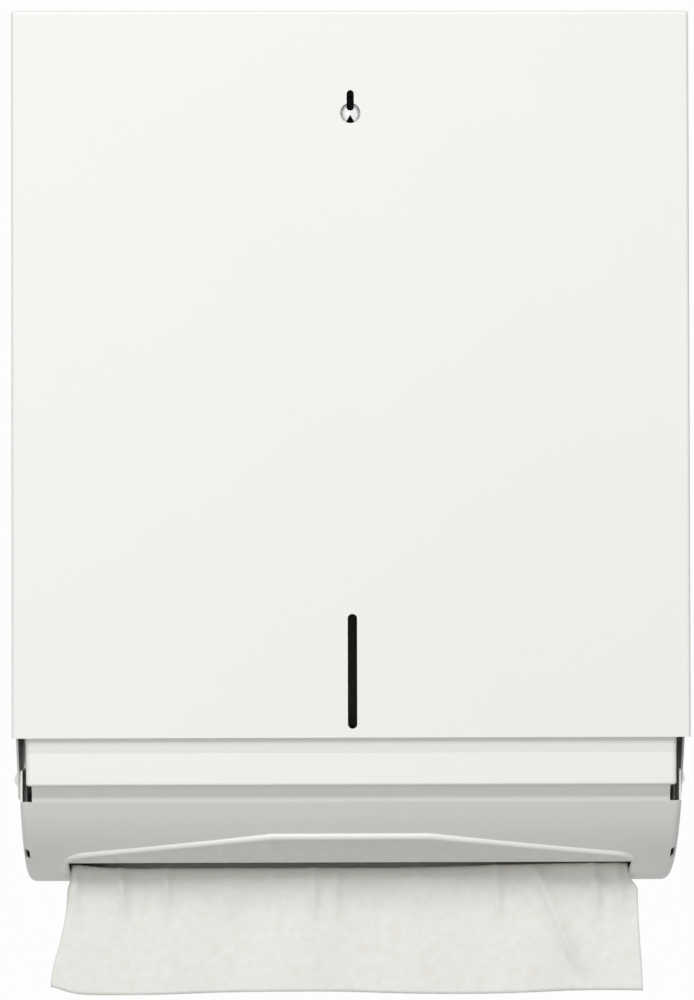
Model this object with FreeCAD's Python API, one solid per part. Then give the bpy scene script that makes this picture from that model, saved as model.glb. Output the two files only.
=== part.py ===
import FreeCAD
import Part
import math
import os

# A wall cabinet for folded paper towels, in millimetres: +X to the viewer's right, +Y into the wall, +Z up.
# Shapes are placed by x, by depth behind the cover's face and by drop below the cover's top edge.
# The origin is on the wall, at the centre of the four wall screw holes.

os.makedirs("parts", exist_ok=True)
Vector = FreeCAD.Vector

# Cabinet as a whole
overall_width = 289.0
overall_height = 376.8
overall_depth = 102.0
sheet = 0.9
fold_radius = 1.6

# Reach of a cutter past the surface that it cuts, and how near counts as touching
over = 1.0
near = 0.01

# Wall screw holes in the back
screw_hole_radius = 3.2
screw_spacing_x = 200.0
screw_spacing_z = 230.0
screw_row_drop = 60.0

# Front cover
below_cover = 66.8
cover_wall_gap = 4.0
cover_side_gap = 1.6
ear_radius = 9.0
ear_overlap = 5.0
ear_front_depth = 28.0

# Cover hinge
pivot_depth = 50.0
pivot_below_cover = 19.7
shank_radius = 2.0
shank_clearance = 0.05
rivet_head_radius = 3.5
rivet_head_height = 2.0
ear_clearance = 0.1
burr_radius = 4.5
burr_thickness = 0.8
tail_radius = 3.2
tail_height = 1.2

# Cabinet shell
top_gap = 3.1
wall_front_depth = 38.0
top_lip = 8.0
tongue_half_width = 45.0
tongue_front_depth = 9.0
tongue_lip = 10.0
wall_low_front_rise = 30.0
wall_low_back_rise = 8.0
flange_gap = 0.5

# Strip under the cover: upright, but for a band along its top that leans out to the cover's edge
strip_setback = 4.0
strip_top_setback = 1.9
strip_band_height = 6.6
strip_inset = 3.3
strip_overlap = 1.2
strip_visible = 20.5
strip_return = 12.0
strip_fold_radius = 2.1
step_fold_radius = 1.2
step_bend_radius = 5.4
neck_depth = 14.0

# Cheeks: the tray's end flanges carried up past the notches to the hinge
cheek_front_depth = 19.0
cheek_back_depth = 62.0
cheek_above_pivot = 5.0

# Rounded chin
chin_flat = 12.6
chin_end_radius = 3.5
notch_height = 7.2
notch_width = 5.3
neck_bend_radius = 2.4
relief_radius = 1.2
relief_length = 8.5
relief_depth = 39.6
relief_turn = 31.0

# Towel mouth in the chin
mouth_end_margin = 17.0
mouth_back_margin = 25.0
mouth_flat_half_width = 34.0
mouth_front_depth = 28.7
mouth_shoulder_depth = 40.9
mouth_shoulder_radius = 12.0
mouth_end_depth = 56.0
mouth_back_end_depth = 72.0
mouth_back_depth = 80.0
mouth_corner_radius = 6.0
rolled_edge_radius = 2.0
rolled_edge_lift = 1.55

# Rivets that hold the tray to the back
tray_rivet_count = 4
tray_rivet_radius = 2.0
tray_rivet_head_radius = 3.6
tray_rivet_head_height = 1.2
tray_rivet_crown_radius = 2.2
tray_rivet_spacing = 75.0
tray_rivet_rise = 22.0

# Keyhole, post and sight slot
key_drop = 43.9
key_hole_radius = 4.3
key_slot_width = 3.1
key_slot_rise = 9.8
key_slot_foot = 1.0
post_gap = 0.2
post_dome = 1.5
post_head_length = 3.4
post_shank_radius = 2.5
post_groove_depth = 3.0
post_notch_width = 4.2
post_notch_top = 0.7
post_face_depth = 0.1
sight_slot_x = 0.4
sight_slot_width = 4.0
sight_slot_length = 48.8
sight_slot_foot = 3.8

# Lock behind the cover
case_half_width = 13.0
case_top_drop = 27.0
case_length = 57.0
case_wall = 1.0
lock_rivet_radius = 1.5
lock_rivet_head_radius = 2.7
lock_rivet_head_height = 1.1
lock_rivet_edge = 2.9
lock_rivet_end = 4.5
bolt_half_width = 7.0
bolt_thickness = 4.0
bolt_play = 0.4
bolt_nose_overlap = 5.0
bolt_foot_drop = 60.0
bolt_travel = 6.0
bolt_slide_gap = 0.3
bolt_bevel_height = 6.0
bolt_bevel_depth = 3.0
key_recess_depth = 1.5
key_recess_height = 5.0
key_recess_gap = 1.0
spring_tang_radius = 1.1
spring_tang_length = 7.0

# Spring under the bolt
spring_radius = 1.55
spring_wire_radius = 0.35
spring_turns = 10
spring_arcs_per_turn = 4
spring_end_gap = 0.05

# Strike behind the tongue's lip
strike_half_width = 14.0
strike_thickness = 1.0
strike_top_gap = 1.1
strike_below_lip = 0.5
strike_rivet_x = 11.0
strike_rivet_radius = 1.25
strike_rivet_head_radius = 2.2
strike_rivet_head_height = 0.7

# Rubber pads on the cabinet's top
pad_radius = 6.0
pad_inset = 41.1
pad_depth = 62.0
pad_gap = 0.3

# Towels
towel_side_gap = 10.2
pack_front_depth = 14.5
pack_back_gap = 3.6
pack_height = 55.0
pack_clear_of_chin = 8.1
pack_front_foot = 56.0
pack_underside_rise = 9.8
pack_underside_start = 62.0
towel_thickness = 1.0
towel_level_rise = 6.8
towel_back_gap = 1.5
towel_hang_depth = 57.5
towel_bend_radius = 8.0
towel_mouth_gap = 1.4
towel_hang_length = 48.2
towel_wave_height = 2.0
towel_wave_start = 0.04
towel_wave_end = 1.6
towel_spread_drop = 12.0
towel_foot_rise = 15.0
towel_waves = 6

# Worked out from the sizes above
cover_height = overall_height - below_cover
half_width = overall_width / 2
tray_half = half_width - sheet - cover_side_gap
wall_half = tray_half - sheet
wall_inner_half = wall_half - sheet
strip_half = tray_half - strip_inset
cover_inner_half = half_width - sheet
cover_rear_depth = overall_depth - cover_wall_gap
back_front_depth = overall_depth - sheet
top_height = screw_row_drop + screw_spacing_z / 2
cabinet_top_drop = sheet + top_gap
strip_bottom_drop = cover_height + strip_visible
notch_bottom_drop = strip_bottom_drop + notch_height
chin_center_depth = overall_depth - chin_flat
chin_run = chin_center_depth - neck_depth
chin_fall = overall_height - notch_bottom_drop
chin_radius = (chin_run ** 2 + chin_fall ** 2) / (2 * chin_fall)
chin_center_drop = overall_height - chin_radius
chin_inner_radius = chin_radius - sheet
chin_mid_radius = chin_radius - sheet / 2
pivot_drop = cover_height + pivot_below_cover
lip_bottom_drop = cabinet_top_drop + tongue_lip
strike_back_depth = tongue_front_depth + sheet + strike_thickness
bolt_front_depth = strike_back_depth + bolt_play
bolt_back_depth = bolt_front_depth + bolt_thickness
case_back_depth = bolt_back_depth + bolt_play
bolt_top_drop = lip_bottom_drop - bolt_nose_overlap
case_bottom_drop = case_top_drop + case_length
tail_start = wall_inner_half - burr_thickness
strike_top_drop = cabinet_top_drop + sheet + strike_top_gap
strike_bottom_drop = lip_bottom_drop + strike_below_lip
strike_middle_drop = (strike_top_drop + strike_bottom_drop) / 2
tray_rivet_drop = overall_height - tray_rivet_rise
strip_top_drop = cover_height - strip_overlap
strip_band_drop = cover_height + strip_band_height
strip_back_depth = strip_setback + strip_return
step_bend_depth = neck_depth - step_bend_radius
step_bend_drop = strip_bottom_drop + step_bend_radius
sight_slot_top = cover_height - sight_slot_foot - sight_slot_length
mouth_half_width = tray_half - mouth_end_margin
mouth_back_half_width = tray_half - mouth_back_margin
pad_x = wall_half - pad_inset
towel_half_width = wall_inner_half - towel_side_gap
towel_mouth_half_width = mouth_half_width - rolled_edge_radius - towel_mouth_gap
pack_underside = overall_height - pack_underside_rise
pack_top_drop = pack_underside - pack_height
towel_level = overall_height - towel_level_rise
towel_hang_bottom = overall_height + towel_hang_length


def place(x, depth, drop):
    return Vector(x, depth - overall_depth, top_height - drop)


def block(x_low, x_high, depth_low, depth_high, drop_low, drop_high):
    corner = place(x_low, depth_low, drop_high)
    return Part.makeBox(x_high - x_low, depth_high - depth_low, drop_high - drop_low, corner)


def rod(start, end, radius):
    return Part.makeCylinder(radius, (end - start).Length, start, end - start)


def tube(start, end, outer, inner):
    return rod(start, end, outer).cut(rod(start, end, inner))


def line_edge(start, end):
    return Part.LineSegment(start, end).toShape()


def edges_where(shape, test):
    return [edge for edge in shape.Edges if test(edge)]


def edge_ends(edge):
    return [vertex.Point for vertex in edge.Vertexes]


def save(node, shape):
    solids = [one.removeSplitter() for one in shape.Solids]
    whole = solids[0] if len(solids) == 1 else Part.makeCompound(solids)
    whole.exportStep(os.path.join("parts", node + ".step"))
    print(node, len(solids), round(whole.Volume, 2), whole.isValid())


def mirrored(shape):
    return shape.mirror(Vector(0, 0, 0), Vector(1, 0, 0))


def chin_drop(depth, radius):
    reach = max(chin_center_depth - depth, 0)
    return chin_center_drop + math.sqrt(radius ** 2 - reach ** 2)


def chin_depth(drop, radius):
    reach = drop - chin_center_drop
    return chin_center_depth - math.sqrt(radius ** 2 - reach ** 2)


def chin_arc(x, first_drop, radius):
    """Arc of the chin's side view from a drop on its face to its lowest point."""
    start = place(x, chin_depth(first_drop, radius), first_drop)
    end = place(x, chin_center_depth, chin_center_drop + radius)
    turn = math.asin((first_drop - chin_center_drop) / radius)
    middle = (turn + math.pi / 2) / 2
    depth = chin_center_depth - radius * math.cos(middle)
    drop = chin_center_drop + radius * math.sin(middle)
    return Part.Arc(start, place(x, depth, drop), end).toShape()


def strip_pan(half, inset, top, radius, low_radius):
    """Solid behind the strip's face, with its two front uprights and its bottom front edge rounded."""
    lean = (strip_setback - strip_top_setback) / (strip_band_drop - strip_top_drop)
    front = strip_setback + inset
    bottom = strip_bottom_drop - inset
    corners = [
        (front - lean * (strip_band_drop - top), top), (front, strip_band_drop), (front, bottom),
        (strip_back_depth + inset, bottom), (strip_back_depth + inset, top),
    ]
    outline = [place(-half, depth, drop) for depth, drop in corners]
    shape = Part.Face(Part.makePolygon(outline + outline[:1])).extrude(Vector(2 * half, 0, 0))
    front_y = place(0, front, 0).y
    bottom_z = place(0, 0, bottom).z

    def upright(edge):
        ends = edge_ends(edge)
        one_side = ends[0].x * ends[1].x > 0
        return one_side and all(p.y - front_y < near and abs(abs(p.x) - half) < near for p in ends)

    def low_front(edge):
        ends = edge_ends(edge)
        return all(abs(p.z - bottom_z) < near and p.y - front_y < radius + near for p in ends)

    shape = shape.makeFillet(radius, edges_where(shape, upright))
    return shape.makeFillet(low_radius, edges_where(shape, low_front))


def cabinet_shell():
    low_front = overall_height - wall_low_front_rise
    low_back = overall_height - wall_low_back_rise
    outline = [
        place(-wall_half, wall_front_depth, cabinet_top_drop),
        place(-wall_half, overall_depth, cabinet_top_drop),
        place(-wall_half, overall_depth, overall_height),
        place(-wall_half, back_front_depth, overall_height),
        place(-wall_half, back_front_depth, low_back),
        place(-wall_half, wall_front_depth, low_front),
    ]
    side = Part.Face(Part.makePolygon(outline + outline[:1]))
    outer = side.extrude(Vector(2 * wall_half, 0, 0))
    inner = block(
        -wall_inner_half, wall_inner_half, 0, back_front_depth,
        cabinet_top_drop + sheet, overall_height + over,
    )
    shell = outer.cut(inner)
    top_front_lip = block(
        -wall_inner_half, wall_inner_half, wall_front_depth, wall_front_depth + sheet,
        cabinet_top_drop, cabinet_top_drop + top_lip,
    )
    tongue = block(
        -tongue_half_width, tongue_half_width, tongue_front_depth, wall_front_depth + sheet,
        cabinet_top_drop, cabinet_top_drop + sheet,
    )
    tongue_front = block(
        -tongue_half_width, tongue_half_width, tongue_front_depth, tongue_front_depth + sheet,
        cabinet_top_drop, lip_bottom_drop,
    )
    tongue_gap = block(
        -tongue_half_width, tongue_half_width, wall_front_depth - sheet, wall_front_depth + 2 * sheet,
        cabinet_top_drop + sheet, cabinet_top_drop + top_lip + over,
    )
    shell = shell.fuse([top_front_lip]).cut(tongue_gap).fuse([tongue, tongue_front])
    for side in (-1, 1):
        for row in (0, 1):
            x = side * screw_spacing_x / 2
            drop = screw_row_drop + row * screw_spacing_z
            start = place(x, back_front_depth - over, drop)
            shell = shell.cut(rod(start, place(x, overall_depth + over, drop), screw_hole_radius))
        hinge_hole = rod(
            place(side * (wall_inner_half - over), pivot_depth, pivot_drop),
            place(side * (wall_half + over), pivot_depth, pivot_drop), shank_radius,
        )
        shell = shell.cut(hinge_hole)
    shell = shell.cut(tray_rivet_shanks(over))
    shell = shell.cut(strike_rivet_shanks())
    return shell


def chin_tub(half, radius, floor, back, top):
    """Solid under the chin: its arc, a flat to the back, and level at the top."""
    start = place(-half, chin_depth(top, radius), top)
    low_back = place(-half, back, floor)
    high_back = place(-half, back, top)
    arc = chin_arc(-half, top, radius)
    low_front = place(-half, chin_center_depth, chin_center_drop + radius)
    wire = Part.Wire([
        arc,
        line_edge(low_front, low_back),
        line_edge(low_back, high_back),
        line_edge(high_back, start),
    ])
    return Part.Face(wire).extrude(Vector(2 * half, 0, 0))


def round_chin_ends(tub, half, radius, floor, fillet):
    """Rounds the bend between the chin and its two end flanges."""
    floor_z = place(0, 0, floor).z
    center = place(0, chin_center_depth, chin_center_drop)

    def on_profile(point):
        if abs(abs(point.x) - half) > near:
            return False
        reach = math.hypot(point.y - center.y, point.z - center.z)
        return abs(reach - radius) < near or abs(point.z - floor_z) < near

    def end_bend(edge):
        middle = edge.valueAt((edge.FirstParameter + edge.LastParameter) / 2)
        return on_profile(middle) and all(on_profile(point) for point in edge_ends(edge))

    return tub.makeFillet(fillet, edges_where(tub, end_bend))


def corner_points():
    """Half of the mouth's outline, front to back: x, depth, corner radius and lift of the rolled edge."""
    return [
        (mouth_flat_half_width, mouth_front_depth, mouth_corner_radius, 0),
        (mouth_half_width, mouth_shoulder_depth, mouth_shoulder_radius, 0),
        (mouth_half_width, mouth_end_depth, mouth_corner_radius, rolled_edge_lift),
        (mouth_half_width, mouth_back_end_depth, mouth_corner_radius, rolled_edge_lift),
        (mouth_back_half_width, mouth_back_depth, mouth_corner_radius, rolled_edge_lift),
    ]


def mouth_path(flat):
    """Closed rounded outline of the mouth, on the chin or flat above it."""
    right = corner_points()
    left = [(-x, depth, radius, lift) for x, depth, radius, lift in reversed(right)]
    corners = []
    radii = []
    for x, depth, radius, lift in right + left:
        radii.append(radius)
        drop = chin_center_drop if flat else chin_drop(depth, chin_mid_radius) - lift
        corners.append(place(x, depth, drop))
    edges = []
    count = len(corners)
    arcs = []
    for index, corner in enumerate(corners):
        before = (corners[index - 1] - corner).normalize()
        after = (corners[(index + 1) % count] - corner).normalize()
        if (before + after).Length < near:
            continue
        half_angle = before.getAngle(after) / 2
        tangent = radii[index] / math.tan(half_angle)
        start = corner + before * tangent
        end = corner + after * tangent
        inward = (before + after).normalize()
        middle = corner + inward * (radii[index] / math.sin(half_angle) - radii[index])
        arcs.append((start, middle, end))
    for index, (start, middle, end) in enumerate(arcs):
        next_start = arcs[(index + 1) % len(arcs)][0]
        edges.append(Part.Arc(start, middle, end).toShape())
        edges.append(line_edge(end, next_start))
    return Part.Wire(edges)


def rolled_edge():
    path = mouth_path(False)
    start = path.Edges[1].valueAt(path.Edges[1].FirstParameter)
    direction = path.Edges[1].tangentAt(path.Edges[1].FirstParameter)
    ordered = path.Edges[1:] + path.Edges[:1]
    circle = Part.Wire([Part.Circle(start, direction, rolled_edge_radius).toShape()])
    return Part.Wire(ordered).makePipeShell([circle], True, False)


def tray_rivet_places():
    return [(index - (tray_rivet_count - 1) / 2) * tray_rivet_spacing for index in range(tray_rivet_count)]


def tray_rivet_shanks(extra):
    head_face = back_front_depth - sheet
    shanks = [
        rod(
            place(x, head_face - extra, tray_rivet_drop), place(x, overall_depth, tray_rivet_drop),
            tray_rivet_radius,
        )
        for x in tray_rivet_places()
    ]
    return Part.makeCompound(shanks)


def neck_bend(half):
    """Cutter that rounds the outer edge where the upright neck turns into the chin."""
    reach = chin_radius - neck_bend_radius
    bend_depth = neck_depth + neck_bend_radius
    bend_drop = chin_center_drop + math.sqrt(reach ** 2 - (chin_center_depth - bend_depth) ** 2)
    turn = math.atan2(chin_center_depth - bend_depth, bend_drop - chin_center_drop)

    def around(angle, radius):
        return place(-half, bend_depth - radius * math.sin(angle), bend_drop + radius * math.cos(angle))

    upper = math.pi / 2
    clear = 2 * neck_bend_radius
    wire = Part.Wire([
        Part.Arc(
            around(upper, neck_bend_radius), around((upper + turn) / 2, neck_bend_radius),
            around(turn, neck_bend_radius),
        ).toShape(),
        line_edge(around(turn, neck_bend_radius), around(turn, clear)),
        line_edge(around(turn, clear), around(upper, clear)),
        line_edge(around(upper, clear), around(upper, neck_bend_radius)),
    ])
    return Part.Face(wire).extrude(Vector(2 * half, 0, 0))


def relief_slot(side):
    """Cutter for the slot in the bend between the chin and an end flange."""
    lean = math.asin((chin_center_depth - relief_depth) / chin_radius)
    turn = math.radians(relief_turn)
    reach = chin_radius - chin_end_radius
    base = place(
        side * (tray_half - chin_end_radius),
        chin_center_depth - reach * math.sin(lean),
        chin_center_drop + reach * math.cos(lean),
    )
    along = Vector(0, math.cos(lean), -math.sin(lean))
    outward = Vector(
        side * math.sin(turn), -math.sin(lean) * math.cos(turn), -math.cos(lean) * math.cos(turn),
    )
    across = outward.cross(along) * relief_radius
    half_run = along * (relief_length / 2 - relief_radius)
    far = outward * (2 * chin_end_radius)
    corners = [
        base + half_run + across, base - half_run + across,
        base - half_run - across, base + half_run - across,
    ]
    middle = Part.Face(Part.makePolygon(corners + corners[:1])).extrude(far)
    ends = [rod(base + run, base + run + far, relief_radius) for run in (half_run, half_run * -1)]
    return middle.fuse(ends)


def towel_tray():
    outer = chin_tub(tray_half, chin_radius, overall_height, back_front_depth, notch_bottom_drop)
    outer = round_chin_ends(outer, tray_half, chin_radius, overall_height, chin_end_radius)
    inner_half = tray_half - sheet
    inner_floor = overall_height - sheet
    inner_top = strip_bottom_drop - sheet
    inner = chin_tub(inner_half, chin_inner_radius, inner_floor, back_front_depth - sheet, inner_top)
    inner = round_chin_ends(inner, inner_half, chin_inner_radius, inner_floor, chin_end_radius - sheet)
    chin = outer.cut(inner)
    for side in (-1, 1):
        low_x, high_x = sorted((side * (wall_inner_half - flange_gap), side * wall_half))
        wall_way = block(
            low_x, high_x, back_front_depth - 2 * sheet, back_front_depth + over,
            notch_bottom_drop - over, overall_height - wall_low_back_rise + flange_gap,
        )
        chin = chin.cut(wall_way)

    neck_half = tray_half - notch_width
    neck_back = neck_depth + sheet
    neck = block(-neck_half, neck_half, neck_depth, neck_back, step_bend_drop, notch_bottom_drop)
    step_bend = tube(
        place(-neck_half, step_bend_depth, step_bend_drop), place(neck_half, step_bend_depth, step_bend_drop),
        step_bend_radius + sheet, step_bend_radius,
    )
    step_bend = step_bend.common(block(
        -neck_half, neck_half, step_bend_depth, neck_back, strip_bottom_drop - sheet, step_bend_drop,
    ))

    strip = strip_pan(strip_half, 0, strip_top_drop, strip_fold_radius, step_fold_radius)
    hollow = strip_pan(
        strip_half - sheet, sheet, strip_top_drop - over, strip_fold_radius - sheet, step_fold_radius - sheet,
    )
    step_cut = block(
        -neck_half, neck_half, step_bend_depth, strip_back_depth + over,
        strip_bottom_drop - sheet - over, strip_bottom_drop + over,
    )
    strip = strip.cut(hollow).cut(step_cut)

    cheeks = []
    for side in (-1, 1):
        low_x, high_x = sorted((side * wall_half, side * tray_half))
        cheek = block(
            low_x, high_x, cheek_front_depth, cheek_back_depth,
            pivot_drop - cheek_above_pivot, notch_bottom_drop + over,
        )
        bore = rod(
            place(low_x - over, pivot_depth, pivot_drop), place(high_x + over, pivot_depth, pivot_drop),
            shank_radius,
        )
        cheeks.append(cheek.cut(bore))
    tray = chin.fuse([neck, step_bend, strip] + cheeks).cut(neck_bend(neck_half))
    mouth = Part.Face(mouth_path(True)).extrude(Vector(0, 0, -2 * chin_radius))
    tray = tray.cut(mouth)
    tray = tray.fuse(rolled_edge())
    for side in (-1, 1):
        tray = tray.cut(relief_slot(side))
    return tray.cut(tray_rivet_shanks(over))


def tray_rivets():
    head_face = back_front_depth - sheet
    rivets = []
    for shank, x in zip(tray_rivet_shanks(0).Solids, tray_rivet_places()):
        head = Part.makeCone(
            tray_rivet_head_radius, tray_rivet_crown_radius, tray_rivet_head_height,
            place(x, head_face, tray_rivet_drop), Vector(0, -1, 0),
        )
        rivets.append(shank.fuse(head))
    return Part.makeCompound(rivets)


def keyhole(depth_low, depth_high, grow):
    half_slot = key_slot_width / 2 + grow
    top = key_drop - key_slot_rise - grow
    hole = rod(place(0, depth_low, key_drop), place(0, depth_high, key_drop), key_hole_radius + grow)
    slot = block(-half_slot, half_slot, depth_low, depth_high, top + half_slot, key_drop)
    slot_top = rod(place(0, depth_low, top + half_slot), place(0, depth_high, top + half_slot), half_slot)
    return hole.fuse([slot, slot_top])


def sight_slot(depth_low, depth_high):
    half_slot = sight_slot_width / 2
    low = sight_slot_top + half_slot
    high = sight_slot_top + sight_slot_length - half_slot
    middle = block(
        sight_slot_x - half_slot, sight_slot_x + half_slot, depth_low, depth_high, low, high,
    )
    ends = [
        rod(place(sight_slot_x, depth_low, drop), place(sight_slot_x, depth_high, drop), half_slot)
        for drop in (low, high)
    ]
    return middle.fuse(ends)


def round_cover(box, half, front, top, radius):
    """Rounds the folds round a cover-shaped box: its two uprights and its top edges."""
    front_y = place(0, front, 0).y
    top_z = place(0, 0, top).z

    def fold(edge):
        ends = edge_ends(edge)
        upright = all(abs(p.y - front_y) < near and abs(abs(p.x) - half) < near for p in ends)
        front_top = all(abs(p.y - front_y) < near and abs(p.z - top_z) < near for p in ends)
        side_top = all(abs(abs(p.x) - half) < near and abs(p.z - top_z) < near for p in ends)
        one_side = ends[0].x * ends[1].x > 0
        return upright and one_side or front_top or side_top and one_side

    return box.makeFillet(radius, edges_where(box, fold))


def touching_point(depth, side):
    """Where the ear's straight edge, from the cover's low edge at one depth, meets its round end."""
    away = depth - pivot_depth
    rise = cover_height - pivot_drop
    turn = math.atan2(rise, away) - side * math.acos(ear_radius / math.hypot(away, rise))
    return pivot_depth + ear_radius * math.cos(turn), pivot_drop + ear_radius * math.sin(turn)


def cover_shell():
    outer = block(-half_width, half_width, 0, cover_rear_depth, 0, cover_height)
    outer = round_cover(outer, half_width, 0, 0, fold_radius)
    inner = block(-cover_inner_half, cover_inner_half, sheet, overall_depth, sheet, cover_height + over)
    inner = round_cover(inner, cover_inner_half, sheet, sheet, fold_radius - sheet)
    cover = outer.cut(inner)
    for side in (-1, 1):
        inner_face = side * cover_inner_half
        outer_face = side * half_width
        low_x = min(inner_face, outer_face)
        high_x = max(inner_face, outer_face)
        front_touch = touching_point(ear_front_depth, 1)
        rear_touch = touching_point(cover_rear_depth, -1)
        corners = [
            (ear_front_depth, cover_height - ear_overlap), (ear_front_depth, cover_height), front_touch,
            (pivot_depth, pivot_drop), rear_touch,
            (cover_rear_depth, cover_height), (cover_rear_depth, cover_height - ear_overlap),
        ]
        outline = [place(low_x, depth, drop) for depth, drop in corners]
        ear = Part.Face(Part.makePolygon(outline + outline[:1])).extrude(Vector(sheet, 0, 0))
        ear_end = rod(
            place(low_x, pivot_depth, pivot_drop), place(high_x, pivot_depth, pivot_drop), ear_radius,
        )
        cover = cover.fuse([ear.fuse(ear_end)])
        bore = rod(
            place(low_x - over, pivot_depth, pivot_drop), place(high_x + over, pivot_depth, pivot_drop),
            shank_radius + shank_clearance,
        )
        cover = cover.cut(bore)
    cover = cover.cut(keyhole(-over, sheet + over, 0))
    return cover.cut(sight_slot(-over, sheet + over))


def dome(x, radius, height, direction):
    """Cap of a ball on a rivet, standing along X."""
    ball_radius = (radius ** 2 + height ** 2) / (2 * height)
    center = place(x - direction * (ball_radius - height), pivot_depth, pivot_drop)
    ball = Part.makeSphere(ball_radius, center)
    slab = rod(
        place(x, pivot_depth, pivot_drop), place(x + direction * (height + over), pivot_depth, pivot_drop),
        radius + over,
    )
    return ball.common(slab)


def hinge_rivet():
    head_face = half_width + ear_clearance
    shank = rod(
        place(tail_start, pivot_depth, pivot_drop), place(head_face, pivot_depth, pivot_drop), shank_radius,
    )
    tail = rod(
        place(tail_start - tail_height, pivot_depth, pivot_drop),
        place(tail_start, pivot_depth, pivot_drop), tail_radius,
    )
    return shank.fuse([tail, dome(head_face, rivet_head_radius, rivet_head_height, 1)])


def hinge_spacer():
    return tube(
        place(tray_half, pivot_depth, pivot_drop),
        place(cover_inner_half - ear_clearance, pivot_depth, pivot_drop), rivet_head_radius, shank_radius,
    )


def hinge_burr():
    return tube(
        place(tail_start, pivot_depth, pivot_drop), place(wall_inner_half, pivot_depth, pivot_drop),
        burr_radius, shank_radius,
    )


def strike_rivet_shanks():
    shanks = [
        rod(
            place(side * strike_rivet_x, tongue_front_depth, strike_middle_drop),
            place(side * strike_rivet_x, strike_back_depth, strike_middle_drop), strike_rivet_radius,
        )
        for side in (-1, 1)
    ]
    return Part.makeCompound(shanks)


def strike_plate():
    plate = block(
        -strike_half_width, strike_half_width, tongue_front_depth + sheet, strike_back_depth,
        strike_top_drop, strike_bottom_drop,
    )
    return plate.cut(strike_rivet_shanks())


def strike_rivets():
    rivets = []
    for shank, side in zip(strike_rivet_shanks().Solids, (-1, 1)):
        x = side * strike_rivet_x
        face = place(x, tongue_front_depth, strike_middle_drop)
        head = Part.makeCone(
            strike_rivet_head_radius, strike_rivet_radius, strike_rivet_head_height, face, Vector(0, -1, 0),
        )
        rear = place(x, strike_back_depth, strike_middle_drop)
        tail = Part.makeCone(
            strike_rivet_head_radius, strike_rivet_radius, strike_rivet_head_height, rear, Vector(0, 1, 0),
        )
        rivets.append(shank.fuse([head, tail]))
    return Part.makeCompound(rivets)


def top_bumpers():
    pads = [
        rod(
            place(side * pad_x, pad_depth, cabinet_top_drop),
            place(side * pad_x, pad_depth, sheet + pad_gap), pad_radius,
        )
        for side in (-1, 1)
    ]
    return Part.makeCompound(pads)


def lock_rivet_places():
    rows = (case_top_drop + lock_rivet_end, case_bottom_drop - lock_rivet_end)
    return [(side * (case_half_width - lock_rivet_edge), drop) for side in (-1, 1) for drop in rows]


def lock_rivet_shanks():
    shanks = [
        rod(place(x, sheet, drop), place(x, case_back_depth + case_wall, drop), lock_rivet_radius)
        for x, drop in lock_rivet_places()
    ]
    return Part.makeCompound(shanks)


def lock_rivets():
    rivets = []
    for shank, (x, drop) in zip(lock_rivet_shanks().Solids, lock_rivet_places()):
        head = Part.makeCone(
            lock_rivet_head_radius, lock_rivet_radius, lock_rivet_head_height,
            place(x, case_back_depth + case_wall, drop), Vector(0, 1, 0),
        )
        rivets.append(shank.fuse(head))
    return Part.makeCompound(rivets)


def lock_case():
    case = block(-case_half_width, case_half_width, sheet, case_back_depth, case_top_drop, case_bottom_drop)
    hollow = block(
        case_wall - case_half_width, case_half_width - case_wall, sheet + case_wall, case_back_depth + over,
        case_top_drop + case_wall, case_bottom_drop - case_wall,
    )
    bolt_way = block(
        -bolt_half_width - bolt_slide_gap, bolt_half_width + bolt_slide_gap,
        bolt_front_depth - bolt_slide_gap, bolt_back_depth + bolt_slide_gap,
        case_top_drop - over, case_top_drop + case_wall + over,
    )
    case = case.cut(hollow).cut(bolt_way)
    case = case.cut(keyhole(sheet - over, sheet + case_wall + over, post_gap))
    return case.cut(lock_rivet_shanks())


def lock_back_plate():
    plate = block(
        -case_half_width, case_half_width, case_back_depth, case_back_depth + case_wall,
        case_top_drop, case_bottom_drop,
    )
    post_hole = rod(
        place(0, case_back_depth - over, key_drop), place(0, case_back_depth + case_wall + over, key_drop),
        post_shank_radius,
    )
    return plate.cut(lock_rivet_shanks()).cut(post_hole)


def key_post():
    radius = key_hole_radius - post_gap
    ball_radius = (radius ** 2 + post_dome ** 2) / (2 * post_dome)
    ball = Part.makeSphere(ball_radius, place(0, post_face_depth + ball_radius, key_drop))
    slab = rod(
        place(0, post_face_depth, key_drop), place(0, post_face_depth + post_head_length, key_drop), radius,
    )
    head = ball.common(slab)
    shank = rod(
        place(0, post_face_depth + post_head_length, key_drop),
        place(0, case_back_depth + case_wall, key_drop), post_shank_radius,
    )
    groove_half = key_slot_width / 2
    groove_floor = post_face_depth + post_groove_depth
    groove_low = key_drop - key_slot_foot - groove_half
    groove_top = key_drop - key_hole_radius - over
    groove = block(-groove_half, groove_half, -over, groove_floor, groove_top, groove_low)
    groove_foot = rod(place(0, -over, groove_low), place(0, groove_floor, groove_low), groove_half)
    notch_low = key_drop + key_hole_radius + over
    notch_apex = key_drop + post_notch_top
    spread = post_notch_width / 2 * (notch_low - notch_apex) / (key_hole_radius - post_notch_top)
    corners = [
        place(0, -over, notch_apex), place(spread, -over, notch_low),
        place(-spread, -over, notch_low),
    ]
    notch = Part.Face(Part.makePolygon(corners + corners[:1]))
    notch = notch.extrude(Vector(0, over + groove_floor, 0))
    return head.fuse(shank).cut(groove.fuse(groove_foot)).cut(notch)


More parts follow.
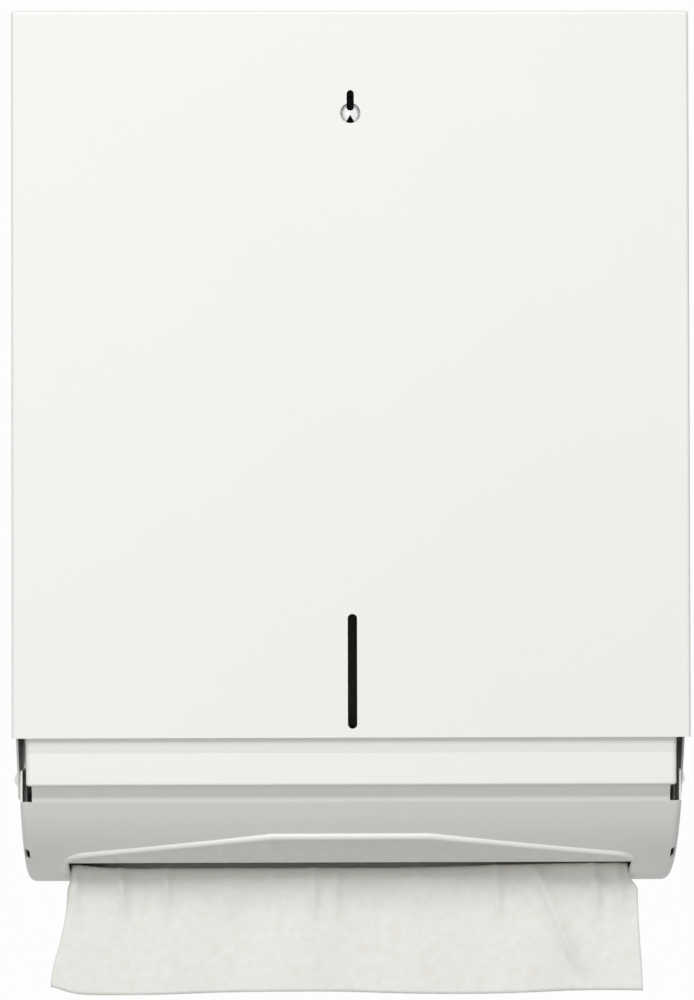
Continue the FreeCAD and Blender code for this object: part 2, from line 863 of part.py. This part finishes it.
def latch_bolt():
    body = block(
        -bolt_half_width, bolt_half_width, bolt_front_depth, bolt_back_depth, bolt_top_drop, bolt_foot_drop,
    )
    bevel = [
        place(-bolt_half_width, bolt_back_depth + near, bolt_top_drop - near),
        place(-bolt_half_width, bolt_back_depth + near, bolt_top_drop + bolt_bevel_height),
        place(-bolt_half_width, bolt_back_depth - bolt_bevel_depth, bolt_top_drop - near),
    ]
    wedge = Part.Face(Part.makePolygon(bevel + bevel[:1])).extrude(Vector(2 * bolt_half_width, 0, 0))
    slot_half = post_shank_radius + bolt_slide_gap / 2
    slot_low = key_drop
    slot_high = key_drop - bolt_travel
    slot_front = bolt_front_depth - over
    slot_back = bolt_back_depth + over
    slot = block(-slot_half, slot_half, slot_front, slot_back, slot_high, slot_low)
    slot_ends = [
        rod(place(0, slot_front, drop), place(0, slot_back, drop), slot_half)
        for drop in (slot_high, slot_low)
    ]
    recess_top = key_drop + slot_half + key_recess_gap
    recess = block(
        0, bolt_half_width + over, slot_front, bolt_front_depth + key_recess_depth,
        recess_top, recess_top + key_recess_height,
    )
    middle = (bolt_front_depth + bolt_back_depth) / 2
    tang_top = place(0, middle, bolt_foot_drop)
    tang = rod(tang_top, place(0, middle, bolt_foot_drop + spring_tang_length), spring_tang_radius)
    return body.cut(wedge).cut(slot.fuse(slot_ends)).cut(recess).fuse(tang)


def helix_point(turn, radius, length, turns, base):
    angle = 2 * math.pi * turn
    return base + Vector(radius * math.cos(angle), radius * math.sin(angle), length * turn / turns)


def helix_tangent(turn, radius, length, turns):
    angle = 2 * math.pi * turn
    along = Vector(-radius * math.sin(angle), radius * math.cos(angle), length / turns / (2 * math.pi))
    return along.normalize()


def arc_from(start, tangent_point, end):
    """Arc from start to end whose end tangents cross at tangent_point."""
    chord = end - start
    cosine = chord.Length / 2 / (tangent_point - start).Length
    middle = start + chord * 0.5
    return Part.Arc(start, middle + (tangent_point - middle) * (cosine / (1 + cosine)), end).toShape()


def biarc(start, start_way, end, end_way):
    """Two arcs that leave start along start_way and reach end along end_way."""
    span = end - start
    ways = start_way + end_way
    spread = 2 * (1 - start_way.dot(end_way))
    reach = (math.sqrt(span.dot(ways) ** 2 + spread * span.dot(span)) - span.dot(ways)) / spread
    first = start + start_way * reach
    last = end - end_way * reach
    joint = (first + last) * 0.5
    return [arc_from(start, first, joint), arc_from(joint, last, end)]


def bolt_spring():
    floor = case_bottom_drop - case_wall
    middle = (bolt_front_depth + bolt_back_depth) / 2
    base = place(0, middle, floor - spring_end_gap - spring_wire_radius)
    length = floor - bolt_foot_drop - 2 * (spring_end_gap + spring_wire_radius)
    edges = []
    for index in range(spring_arcs_per_turn * spring_turns):
        here = index / spring_arcs_per_turn
        there = (index + 1) / spring_arcs_per_turn
        edges += biarc(
            helix_point(here, spring_radius, length, spring_turns, base),
            helix_tangent(here, spring_radius, length, spring_turns),
            helix_point(there, spring_radius, length, spring_turns, base),
            helix_tangent(there, spring_radius, length, spring_turns),
        )
    path = Part.Wire(edges)
    start = helix_point(0, spring_radius, length, spring_turns, base)
    along = helix_tangent(0, spring_radius, length, spring_turns)
    section = Part.Wire([Part.Circle(start, along, spring_wire_radius).toShape()])
    print("spring least self gap", round(length / spring_turns - 2 * spring_wire_radius, 2))
    return path.makePipeShell([section], True, False)


def folded_towels():
    radius = chin_radius - pack_clear_of_chin - sheet
    back = back_front_depth - pack_back_gap
    front_low = chin_drop(pack_front_depth, radius)
    foot = chin_drop(pack_front_foot, radius)
    bend = (pack_front_depth + pack_front_foot) / 2
    x = -towel_half_width
    wire = Part.Wire([
        line_edge(place(x, pack_front_depth, pack_top_drop), place(x, pack_front_depth, front_low)),
        Part.Arc(
            place(x, pack_front_depth, front_low), place(x, bend, chin_drop(bend, radius)),
            place(x, pack_front_foot, foot),
        ).toShape(),
        line_edge(place(x, pack_front_foot, foot), place(x, pack_underside_start, pack_underside)),
        line_edge(place(x, pack_underside_start, pack_underside), place(x, back, pack_underside)),
        line_edge(place(x, back, pack_underside), place(x, back, pack_top_drop)),
        line_edge(place(x, back, pack_top_drop), place(x, pack_front_depth, pack_top_drop)),
    ])
    return Part.Face(wire).extrude(Vector(2 * towel_half_width, 0, 0))


def wavy_section(half, depth, drop, height):
    """Closed outline of the hanging sheet at one drop: a row of shallow waves, one sheet thick."""
    step = 2 * half / (2 * towel_waves)
    front = []
    rear = []
    for index in range(2 * towel_waves):
        low_x = -half + index * step
        bulge = height if index % 2 else -height
        middle_x = low_x + step / 2
        for edges, offset in ((front, 0), (rear, towel_thickness)):
            start = place(low_x, depth + offset, drop)
            middle = place(middle_x, depth + offset + bulge, drop)
            end = place(low_x + step, depth + offset, drop)
            edges.append(Part.Arc(start, middle, end).toShape())
    right = line_edge(place(half, depth, drop), place(half, depth + towel_thickness, drop))
    left = line_edge(place(-half, depth + towel_thickness, drop), place(-half, depth, drop))
    return Part.Wire(front + [right] + rear[::-1] + [left])


def hanging_towel():
    half = towel_mouth_half_width
    front = towel_hang_depth
    outer_radius = towel_bend_radius + towel_thickness
    turn_depth = front + outer_radius
    turn_drop = towel_level + towel_thickness / 2 + towel_bend_radius
    back = back_front_depth - sheet - tray_rivet_head_height - towel_back_gap
    upper = towel_level - towel_thickness / 2
    flat = block(-half, half, turn_depth, back, upper, upper + towel_thickness)
    outer = rod(place(-half, turn_depth, turn_drop), place(half, turn_depth, turn_drop), outer_radius)
    inner = rod(place(-half, turn_depth, turn_drop), place(half, turn_depth, turn_drop), towel_bend_radius)
    quarter = block(-half, half, front - over, turn_depth, upper - over, turn_drop)
    bend = outer.cut(inner).common(quarter)
    sections = [
        wavy_section(half, front, turn_drop, towel_wave_start),
        wavy_section((half + towel_half_width) / 2, front, turn_drop + towel_spread_drop, towel_wave_height),
        wavy_section(towel_half_width, front, towel_hang_bottom - towel_foot_rise, towel_wave_height),
        wavy_section(towel_half_width, front, towel_hang_bottom, towel_wave_end),
    ]
    hung = Part.makeLoft(sections, True, True)
    return flat.fuse([bend, hung])


save("cabinet_shell", cabinet_shell())
save("towel_tray", towel_tray())
save("tray_rivets", tray_rivets())
save("strike_plate", strike_plate())
save("strike_rivets", strike_rivets())
save("top_bumpers", top_bumpers())
save("hinge_rivet_right", hinge_rivet())
save("hinge_rivet_left", mirrored(hinge_rivet()))
save("hinge_spacer_right", hinge_spacer())
save("hinge_spacer_left", mirrored(hinge_spacer()))
save("hinge_burr_right", hinge_burr())
save("hinge_burr_left", mirrored(hinge_burr()))
save("cover_shell", cover_shell())
save("lock_case", lock_case())
save("lock_back_plate", lock_back_plate())
save("lock_rivets", lock_rivets())
save("key_post", key_post())
save("latch_bolt", latch_bolt())
save("bolt_spring", bolt_spring())
save("folded_towels", folded_towels())
save("hanging_towel", hanging_towel())
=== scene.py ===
import bpy
import math
import random
from mathutils import Matrix, Vector


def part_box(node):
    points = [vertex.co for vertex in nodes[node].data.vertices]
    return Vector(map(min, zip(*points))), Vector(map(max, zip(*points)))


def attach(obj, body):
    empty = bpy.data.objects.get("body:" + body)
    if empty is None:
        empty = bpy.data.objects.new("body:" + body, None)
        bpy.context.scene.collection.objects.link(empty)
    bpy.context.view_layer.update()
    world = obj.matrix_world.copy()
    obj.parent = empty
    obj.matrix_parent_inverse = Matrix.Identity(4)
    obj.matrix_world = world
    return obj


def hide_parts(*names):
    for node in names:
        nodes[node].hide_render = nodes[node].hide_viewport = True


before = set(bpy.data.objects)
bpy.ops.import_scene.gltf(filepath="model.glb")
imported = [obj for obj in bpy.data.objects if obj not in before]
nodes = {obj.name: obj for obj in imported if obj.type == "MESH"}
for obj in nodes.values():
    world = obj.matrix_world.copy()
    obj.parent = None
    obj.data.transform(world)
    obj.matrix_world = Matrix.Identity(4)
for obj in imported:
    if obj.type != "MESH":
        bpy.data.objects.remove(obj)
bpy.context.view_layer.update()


# White sheet steel: cabinet, front cover and towel tray
# The three large pieces are bent from 0.9 mm sheet and powder coated white
# after they are folded, which leaves a satin skin with a faint orange peel.


class Signal:
    """A number or colour on its way through a material."""

    def __init__(self, finish, socket):
        self.finish = finish
        self.socket = socket

    def other(self, result):
        """Another output of the same node."""
        return Signal(self.finish, self.socket.node.outputs[result])

    def math(self, operation, *values):
        return self.finish.node("ShaderNodeMath", {"operation": operation}, dict(enumerate(values)))

    def __add__(self, other):
        return self.math("ADD", self, other)

    def __sub__(self, other):
        return self.math("SUBTRACT", self, other)

    def __rsub__(self, other):
        return self.math("SUBTRACT", other, self)

    def __mul__(self, other):
        return self.math("MULTIPLY", self, other)

    __radd__ = __add__
    __rmul__ = __mul__


class Finish:
    """One material of the object or of the studio, built node by node."""

    def __init__(self, name, shelf="materials"):
        self.material = getattr(bpy.data, shelf).new(name)
        self.material.use_nodes = True
        self.tree = self.material.node_tree
        self.tree.nodes.clear()

    def node(self, kind, settings, values, result=0):
        """Adds a node: its settings first, then the values or links of its sockets."""
        made = self.tree.nodes.new(kind)
        for key, value in settings.items():
            setattr(made, key, value)
        for key, value in values.items():
            if isinstance(value, Signal):
                self.tree.links.new(value.socket, made.inputs[key])
            elif isinstance(value, (tuple, list)) and made.inputs[key].type == "RGBA":
                made.inputs[key].default_value = (*value, 1.0)
            else:
                made.inputs[key].default_value = value
        return Signal(self, made.outputs[result]) if made.outputs else None

    def place(self, layer="Object"):
        """Where on the piece a point is: in its object's space or on its flat sheet."""
        return self.node("ShaderNodeTexCoord", {}, {}, layer)

    def noise(self, where, scale, detail=2.0, roughness=0.5, stretch=(1.0, 1.0, 1.0)):
        """Soft noise; scale is in features a metre."""
        drawn = self.node("ShaderNodeMapping", {}, {"Vector": where, "Scale": stretch})
        return self.node(
            "ShaderNodeTexNoise",
            {},
            {"Vector": drawn, "Scale": scale, "Detail": detail, "Roughness": roughness},
        )

    def mixed(self, factor, first, second):
        """A colour between first and second."""
        return self.node(
            "ShaderNodeMix",
            {"data_type": "RGBA"},
            {0: factor, 6: first, 7: second},
            2,
        )

    def bumped(self, height, distance, strength):
        """Surface directions roughened by height, over a distance in metres."""
        return self.node(
            "ShaderNodeBump", {}, {"Height": height, "Distance": distance, "Strength": strength}
        )

    def surface(self, behind=None, **values):
        """Closes the material with one principled surface, and a share of another behind it."""
        sockets = {key.replace("_", " "): value for key, value in values.items()}
        shade = self.node("ShaderNodeBsdfPrincipled", {}, sockets)
        if behind:
            share, other = behind
            shade = self.node("ShaderNodeMixShader", {}, {0: share, 1: shade, 2: other})
        self.node("ShaderNodeOutputMaterial", {}, {"Surface": shade})

    def give(self, *names):
        """Puts the finished material on CAD nodes."""
        for name in names:
            mesh = nodes[name].data
            mesh.materials.clear()
            mesh.materials.append(self.material)


enamel = Finish("white_powder_coat")
where = enamel.place()
peel = enamel.noise(where, 420.0, 1.5)
cloud = enamel.noise(where, 9.0, 3.0)
enamel.surface(
    Base_Color=enamel.mixed(cloud, (0.852, 0.862, 0.832), (0.874, 0.882, 0.853)),
    Roughness=0.36 + 0.10 * cloud,
    Specular_IOR_Level=0.35,
    Normal=enamel.bumped(peel, 0.00004, 0.35),
)
enamel.give("cabinet_shell", "cover_shell", "towel_tray")


# Zinc-plated stampings: strike plate and lock case
# Plain steel blanks with a dull zinc plate, whose crystals show as a faint
# patchwork, and with fine drawing lines down the length.
zinc = Finish("dull_zinc_plate")
where = zinc.place()
crystals = zinc.node(
    "ShaderNodeTexVoronoi", {"feature": "F1"}, {"Vector": where, "Scale": 260.0}, "Color"
)
crystal = zinc.node("ShaderNodeSeparateColor", {}, {"Color": crystals}, 0)
lines = zinc.noise(where, 900.0, 2.0, 0.5, (1.0, 1.0, 0.05))
zinc.surface(
    Base_Color=zinc.mixed(crystal, (0.50, 0.505, 0.50), (0.64, 0.645, 0.64)),
    Metallic=1.0,
    Roughness=0.34 + 0.10 * crystal + 0.06 * lines,
    Normal=zinc.bumped(lines, 0.00002, 0.4),
)
zinc.give("strike_plate", "lock_case")


# Rivets, hinge spacers and washers
# Cold-headed steel with a bright plate; the heads keep small dents from the
# riveting hammer.
rivet_steel = Finish("bright_rivet_steel")
where = rivet_steel.place()
dents = rivet_steel.noise(where, 1300.0, 2.0)
rivet_steel.surface(
    Base_Color=rivet_steel.mixed(dents, (0.66, 0.66, 0.65), (0.80, 0.80, 0.79)),
    Metallic=1.0,
    Roughness=0.22 + 0.12 * dents,
    Normal=rivet_steel.bumped(dents, 0.00005, 0.3),
)
rivet_steel.give(
    "tray_rivets",
    "strike_rivets",
    "lock_rivets",
    "hinge_rivet_left",
    "hinge_rivet_right",
    "hinge_spacer_left",
    "hinge_spacer_right",
    "hinge_burr_left",
    "hinge_burr_right",
)


# Latch bolt, its spring and the lock's back plate
# Sheared steel and a coiled wire spring, coloured nearly black as painted shade
# of the lock's dark inside seen through the keyhole, with a slight oily gloss.
painted_shade_steel = Finish("steel_with_painted_shade")
where = painted_shade_steel.place()
drawn = painted_shade_steel.noise(where, 1800.0, 2.0)
painted_shade_steel.surface(
    # Near-black base colour: painted shade of the lock's dark inside
    Base_Color=painted_shade_steel.mixed(drawn, (0.030, 0.030, 0.031), (0.075, 0.073, 0.070)),
    Metallic=0.8,
    Roughness=0.40 + 0.16 * drawn,
    Normal=painted_shade_steel.bumped(drawn, 0.00003, 0.3),
)
painted_shade_steel.give("latch_bolt", "bolt_spring", "lock_back_plate")


# Key post
# The turned post in the keyhole. Its dome is polished and chromium plated, with
# faint turning rings; behind the dome, its groove and notch are painted near
# black as shade, and made rougher.
# Depth behind the post's front where the painted shade of groove and notch starts, and how sharp
# its edge is
painted_shade_depth = 0.0017
painted_shade_sharpness = 6000.0
ring_radians = 26000.0
post_low, post_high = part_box("key_post")
post_middle = (post_low + post_high) / 2
chrome = Finish("bright_chromium")
where = chrome.node("ShaderNodeSeparateXYZ", {}, {"Vector": chrome.place()}, "X")
across = where - post_middle.x
upward = where.other("Z") - post_middle.z
from_middle = where.math("SQRT", across * across + upward * upward)
rings = where.math("SINE", from_middle * ring_radians)
behind_dome = where.other("Y") - (post_low.y + painted_shade_depth)
# Painted shade: groove and notch behind the dome are coloured near black
painted_groove_shade = chrome.node("ShaderNodeClamp", {}, {0: behind_dome * painted_shade_sharpness})
chrome.surface(
    Base_Color=chrome.mixed(painted_groove_shade, (0.86, 0.865, 0.87), (0.004, 0.004, 0.004)),
    Metallic=1.0,
    Roughness=0.10 + 0.03 * rings + 0.5 * painted_groove_shade,
    Normal=chrome.bumped(rings, 0.000004, 0.3),
)
chrome.give("key_post")


# Top bumpers
# Two moulded rubber pads with a fine matt grain, on the cabinet's top wall, which
# the top of the shut cover rests over.
rubber = Finish("black_rubber")
where = rubber.place()
grain = rubber.noise(where, 1500.0, 3.0)
rubber.surface(
    Base_Color=rubber.mixed(grain, (0.018, 0.018, 0.019), (0.040, 0.040, 0.041)),
    Roughness=0.62 + 0.2 * grain,
    Normal=rubber.bumped(grain, 0.00006, 0.5),
)
rubber.give("top_bumpers")


# Folded towels
# The pack in the tray: paper towels folded flat, each with a round fold along
# its front and rear edges, the lowest ones curled up by the tray's chin.
TOP = 0.175
FACE = -0.102


def at(x, depth, drop):
    """A point by its place across, its depth behind the face and its drop below the top, in mm."""
    return Vector((x / 1000, depth / 1000 + FACE, TOP - drop / 1000))


def made(name, points, faces, coordinates):
    """A smooth mesh piece at the origin, with its own flat-sheet coordinates in metres."""
    mesh = bpy.data.meshes.new(name)
    mesh.from_pydata(points, [], faces)
    layer = mesh.uv_layers.new(name="sheet")
    for corner in mesh.loops:
        layer.data[corner.index].uv = coordinates[corner.vertex_index]
    mesh.update()
    mesh.shade_smooth()
    piece = bpy.data.objects.new(name, mesh)
    bpy.context.scene.collection.objects.link(piece)
    return piece


paper = Finish("creped_towel_paper")
where = paper.place("UV")
crepe = paper.noise(where, 900.0, 3.0, 0.6, (0.35, 1.0, 1.0))
fibre = paper.noise(where, 2600.0, 2.0)
mottle = paper.noise(where, 210.0, 4.0, 0.65)
mottle_contrast, crepe_contrast = 2.4, 0.6
blotch = mottle_contrast * (mottle - 0.5) + crepe_contrast * (crepe - 0.5) + 0.5
shine_through = 0.12
through = paper.node("ShaderNodeBsdfTranslucent", {}, {"Color": (0.90, 0.82, 0.68)})
paper.surface(
    behind=(shine_through, through),
    Base_Color=paper.mixed(
        paper.node("ShaderNodeClamp", {}, {0: blotch}), (0.880, 0.870, 0.825), (0.950, 0.957, 0.932)
    ),
    Roughness=0.9,
    Specular_IOR_Level=0.2,
    Normal=paper.bumped(0.75 * crepe + 0.25 * fibre, 0.00022, 0.6),
)

pack_half = 129.0
pack_front, pack_rear = 15.5, 97.0
pack_top, pack_bottom = 312.6, 361.0
curl_start, curl_run, curl_rise = 66.0, 50.0, 27.5
layers = 24
fold_nose = 0.7
air_gap = 0.10
ripple_height, ripple_radians = 0.12, 9.0
rng = random.Random(7)


def pack_floor(depth):
    """Underside of the pack: curled up towards the chin at the front."""
    curl = max(0.0, (curl_start - depth) / curl_run)
    return pack_bottom - curl_rise * curl**2


def towel_loop(index):
    """Cross-section of one folded towel, as depth and drop, closed."""
    low, high = (index + 1) / layers, index / layers
    front = pack_front + rng.uniform(0.0, 1.6)
    rear = pack_rear - rng.uniform(0.0, 1.2)
    upper, lower = [], []
    count = 18
    for k in range(count + 1):
        depth = front + fold_nose + (rear - front - 2 * fold_nose) * k / count
        height = pack_floor(depth) - pack_top
        upper.append((depth, pack_top + height * high + air_gap))
        lower.append((depth, pack_top + height * low - air_gap))
    middle_front = (front, (upper[0][1] + lower[0][1]) / 2)
    middle_rear = (rear, (upper[-1][1] + lower[-1][1]) / 2)
    return [middle_front] + upper + [middle_rear] + lower[::-1]


columns = 30
towel_spacing = 40
points, faces, flat = [], [], []
for index in range(layers):
    loop = towel_loop(index)
    size = len(loop)
    half = pack_half - rng.uniform(0.0, 1.5)
    slip = rng.uniform(-0.8, 0.8)
    phase = rng.uniform(0.0, 6.28)
    start = len(points)
    for column in range(columns + 1):
        u = column / columns
        x = -half + 2 * half * u + slip
        ripple = ripple_height * math.sin(ripple_radians * u + phase)
        around = 0.0
        for place, (depth, drop) in enumerate(loop):
            if place:
                around += math.dist(loop[place - 1], loop[place])
            points.append(at(x, depth, drop + ripple))
            flat.append(((x + half) / 1000, (around + towel_spacing * index) / 1000))
    for column in range(columns):
        for place in range(size):
            here = start + column * size + place
            beside = start + column * size + (place + 1) % size
            faces.append((here, beside, beside + size, here + size))
    first = [start + place for place in range(size)]
    last = [start + columns * size + place for place in range(size)]
    faces.append(tuple(first[::-1]))
    faces.append(tuple(last))
pack = made("towel_pack", points, faces, flat)
pack.data.materials.append(paper.material)
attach(pack, "cabinet")
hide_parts("folded_towels")


# Hanging towel
# The lowest towel of the pack: one sheet of creped paper in a C fold. Two of
# its panels lie on the chin and the tray floor, and its free end hangs out.
sheet_width = 260.4
chin_centre, lying_radius = (89.4, 286.47), 87.5
chin_front, chin_rear = 18.6, 51.6
panel_front, panel_rear = 19.0, 96.0
under_pack = 1.0
floor_start, floor_middle, floor_front = (52.2, 366.4), (80.0, 372.2), (67.0, 370.1)
turn_centre, turn_radius = (95.6, 371.1), 1.5
crest_centre, crest_radius = (66.0, 376.0), 6.0
hang_depth = crest_centre[0] - crest_radius
hang_lean = 0.6
free_end = 424.2


def stretch(first, last, count):
    """Points on a straight run, as depth and drop, without its last one."""
    return [
        tuple(a + (b - a) * k / count for a, b in zip(first, last)) for k in range(count)
    ]


def bend_round(centre, radius, start, end, count):
    """Points on an arc, by angles in degrees, without its last one."""
    angles = [math.radians(start + (end - start) * k / count) for k in range(count)]
    return [(centre[0] + radius * math.cos(a), centre[1] + radius * math.sin(a)) for a in angles]


def chin_angle(depth):
    """Where the sheet lies on the chin at this depth, in degrees."""
    return math.degrees(math.acos((depth - chin_centre[0]) / lying_radius))


panel_count = 16
upper_depths = [
    panel_rear + (panel_front - panel_rear) * k / panel_count for k in range(panel_count + 1)
]
upper_panel = [(depth, pack_floor(depth) + under_pack) for depth in upper_depths]
chin_panel = bend_round(
    chin_centre, lying_radius, chin_angle(chin_front), chin_angle(chin_rear), 18
)
turn_top = (turn_centre[0], turn_centre[1] - turn_radius)
turn_bottom = (turn_centre[0], turn_centre[1] + turn_radius)
lower_panel = stretch(floor_start, turn_top, panel_count)
rear_turn = bend_round(turn_centre, turn_radius, -90.0, 90.0, 6)
floor_panel = stretch(turn_bottom, floor_middle, 6) + stretch(floor_middle, floor_front, 7)
lying = upper_panel + chin_panel + lower_panel + rear_turn + floor_panel
crest = bend_round(crest_centre, crest_radius, -85.0, -180.0, 14)
hang_top = (hang_depth, crest_centre[1])
hang_bottom = (hang_depth - hang_lean, free_end)
free_panel = stretch(hang_top, hang_bottom, 30) + [hang_bottom]
run = lying + crest + free_panel
along = [0.0]
for before, after in zip(run, run[1:]):
    along.append(along[-1] + math.dist(before, after))
crest_place = along[len(lying)]
free_length = along[-1] - crest_place


def eased(value, low, high):
    """0 up to low, 1 from high on, and a soft step between."""
    share = min(1.0, max(0.0, (value - low) / (high - low)))
    return share * share * (3 - 2 * share)


# Each pleat has its place across, its lean over the free length, its width, and its
# height behind the panel's plane, which is negative for one that stands out in front.
pleats = [
    (-120.0, -3.0, 2.0, -3.6),
    (-101.0, 5.0, 2.0, -4.6),
    (-81.0, 2.0, 1.8, -4.0),
    (-52.0, -3.0, 4.0, -2.6),
    (-16.0, 0.0, 2.2, -4.2),
    (-6.0, -1.0, 1.8, -3.2),
    (30.0, 4.0, 5.0, -2.4),
    (64.0, 3.0, 2.0, -3.8),
    (107.0, 4.0, 2.0, -4.8),
    (117.0, 6.0, 2.4, -3.8),
]
pleat_sharpness, pleat_rounding = 1.3, 0.25
crease_place, crease_lean, crease_width, crease_height = 79.0, 26.0, 3.2, -3.6
long_wave, short_wave = 14.0, 8.3
top_wave, end_wave = 0.30, 0.7


def wave(x, hang):
    """How far the free panel lies behind its plane, in mm; hang runs from 0 to 1."""
    behind = 0.0
    fading = 1 - eased(hang, 0.12, 0.55)
    for place, lean, width, height in pleats:
        away = abs(x - place - lean * hang) / width
        behind += height * math.exp(-math.hypot(away, pleat_rounding) ** pleat_sharpness) * fading
    crease = abs(x - crease_place - crease_lean * hang) / crease_width
    seen = eased(hang, 0.0, 0.15) * (1 - eased(hang, 0.6, 0.95))
    behind += crease_height * math.exp(-crease) * seen
    broad = math.sin(x / long_wave + 0.5) + 0.7 * math.sin(x / short_wave + 2.1 * hang)
    return behind + (top_wave + end_wave * hang) * broad


lying_half = 129.6
mouth_squeeze = 7.2
crest_spread, hang_spread = 2.9, 4.7
crest_shift, hang_shift = 1.2, -2.7
right_rise, left_rise, left_place = 1.9, 1.5, -122.0
corner_rise, corner_place = 3.4, -133.0
edge_wave = 0.7


def outline(row):
    """Half width and middle of one row of the sheet, drawn in at the mouth."""
    past = along[row] - crest_place
    gather = eased(along[row], crest_place - 45.0, crest_place - 8.0)
    over_crest, down = eased(past, 8.0, 15.0), eased(past, 15.0, 60.0)
    half = lying_half - mouth_squeeze * gather + crest_spread * over_crest + hang_spread * down
    return half, 0.1 + crest_shift * over_crest + hang_shift * down


def drop_change(x, past):
    """How much lower the sheet lies than its run, in mm, so negative where it is lifted."""
    raised = right_rise * eased(x, 15.0, 110.0)
    raised += left_rise * math.exp(-(((x - left_place) / 13.0) ** 2))
    hanging = eased(past, 20.0, 60.0)
    lower = -raised * eased(past, -12.0, 2.0) * (1 - eased(past, 6.0, 40.0))
    lower -= corner_rise * math.exp(-(((x - corner_place) / 9.0) ** 2)) * hanging
    return lower + edge_wave * math.sin(x / 23.0 - 0.4) * hanging


columns = 208
points, faces, flat = [], [], []
for row, (depth, drop) in enumerate(run):
    before, after = run[max(row - 1, 0)], run[min(row + 1, len(run) - 1)]
    length = math.dist(before, after)
    normal = ((after[1] - before[1]) / length, -(after[0] - before[0]) / length)
    past = along[row] - crest_place
    hang = min(1.0, max(0.0, past / free_length))
    half, middle = outline(row)
    for column in range(columns + 1):
        x = middle + half * (2 * column / columns - 1)
        behind = wave(x, hang) * eased(past, -2.0, 14.0)
        lower = drop_change(x, past)
        points.append(at(x, depth + normal[0] * behind, drop + normal[1] * behind + lower))
        flat.append((sheet_width * column / columns / 1000, along[row] / 1000))
for row in range(len(run) - 1):
    for column in range(columns):
        here = row * (columns + 1) + column
        below = here + columns + 1
        faces.append((here, here + 1, below + 1, below))
towel = made("towel_sheet", points, faces, flat)
towel.data.materials.append(paper.material)
ply = towel.modifiers.new("ply", "SOLIDIFY")
ply.thickness = 0.00025
ply.offset = 0.0
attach(towel, "cabinet")
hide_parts("hanging_towel")


# Studio
# A pale floor well under the wall fixing, three soft lamps in front, most of
# their light from above, and an even white surrounding; the camera stands
# where the photographer's did.
white = 0.982
surround = 0.25


def looked_at(finish):
    """1 where the camera, a reflection or a view through something meets the surface, else 0."""
    camera_ray = finish.node("ShaderNodeLightPath", {}, {}, "Is Camera Ray")
    glossy_ray = camera_ray.other("Is Glossy Ray")
    clear_ray = camera_ray.other("Is Transmission Ray")
    return finish.node(
        "ShaderNodeMath",
        {"operation": "MAXIMUM"},
        {0: camera_ray.math("MAXIMUM", camera_ray, glossy_ray), 1: clear_ray},
    )


studio = Finish("studio", "worlds")
plain = studio.node("ShaderNodeBackground", {}, {"Color": (1.0, 1.0, 0.995), "Strength": surround})
shown = studio.node("ShaderNodeBackground", {}, {"Color": (1.0, 1.0, 1.0), "Strength": white})
mix = studio.node("ShaderNodeMixShader", {}, {0: looked_at(studio), 1: plain, 2: shown})
studio.node("ShaderNodeOutputWorld", {}, {"Surface": mix})
bpy.context.scene.world = studio.material

pale = Finish("pale_floor")
matt = pale.node("ShaderNodeBsdfDiffuse", {}, {"Color": (0.70, 0.70, 0.69)})
glow = pale.node("ShaderNodeEmission", {}, {"Strength": white})
mix = pale.node("ShaderNodeMixShader", {}, {0: looked_at(pale), 1: matt, 2: glow})
pale.node("ShaderNodeOutputMaterial", {}, {"Surface": mix})

reach, level = 3.0, -1.1
corners = [(-reach, -reach), (reach, -reach), (reach, reach), (-reach, reach)]
floor_mesh = bpy.data.meshes.new("floor")
floor_mesh.from_pydata([(x, y, level) for x, y in corners], [], [(0, 1, 2, 3)])
floor_mesh.materials.append(pale.material)
floor = bpy.data.objects.new("floor", floor_mesh)
bpy.context.scene.collection.objects.link(floor)

lamp_size = 0.7
lit_point = Vector((0.0, -0.08, -0.03))
lamps = [
    ("high_lamp", (-0.21, -3.05, 2.65), 38.0),
    ("middle_lamp", (-0.24, -3.46, 2.09), 57.0),
    ("low_lamp", (-0.98, -3.97, 0.11), 26.0),
]
for name, place, watts in lamps:
    light = bpy.data.lights.new(name, "AREA")
    light.shape = "SQUARE"
    light.size = lamp_size
    light.energy = watts
    lamp = bpy.data.objects.new(name, light)
    bpy.context.scene.collection.objects.link(lamp)
    lamp.location = place
    lamp.rotation_euler = (lit_point - Vector(place)).to_track_quat("-Z", "Y").to_euler()

side, away, height = -0.0267, 1.7498, 0.2412
pitch, yaw, roll = 0.01844, 0.01425, -0.002306
focal_pixels, picture_height, sensor_height = 4112.8, 1000, 24.0
across = Vector((math.cos(yaw), -math.sin(yaw), 0.0))
level_ahead = Vector((math.sin(yaw), math.cos(yaw), 0.0))
ahead = math.cos(pitch) * level_ahead + math.sin(pitch) * Vector((0, 0, 1))
overhead = -math.sin(pitch) * level_ahead + math.cos(pitch) * Vector((0, 0, 1))
right = math.cos(roll) * across + math.sin(roll) * overhead
up = -math.sin(roll) * across + math.cos(roll) * overhead
view = bpy.data.cameras.new("camera")
view.sensor_fit = "VERTICAL"
view.sensor_height = sensor_height
view.lens = focal_pixels / picture_height * sensor_height
camera = bpy.data.objects.new("camera", view)
bpy.context.scene.collection.objects.link(camera)
stand = Matrix((right, up, -ahead)).transposed().to_4x4()
stand.translation = Vector((side, FACE - away, TOP - height))
camera.matrix_world = stand
bpy.context.scene.camera = camera
bpy.context.scene.view_settings.view_transform = "Standard"
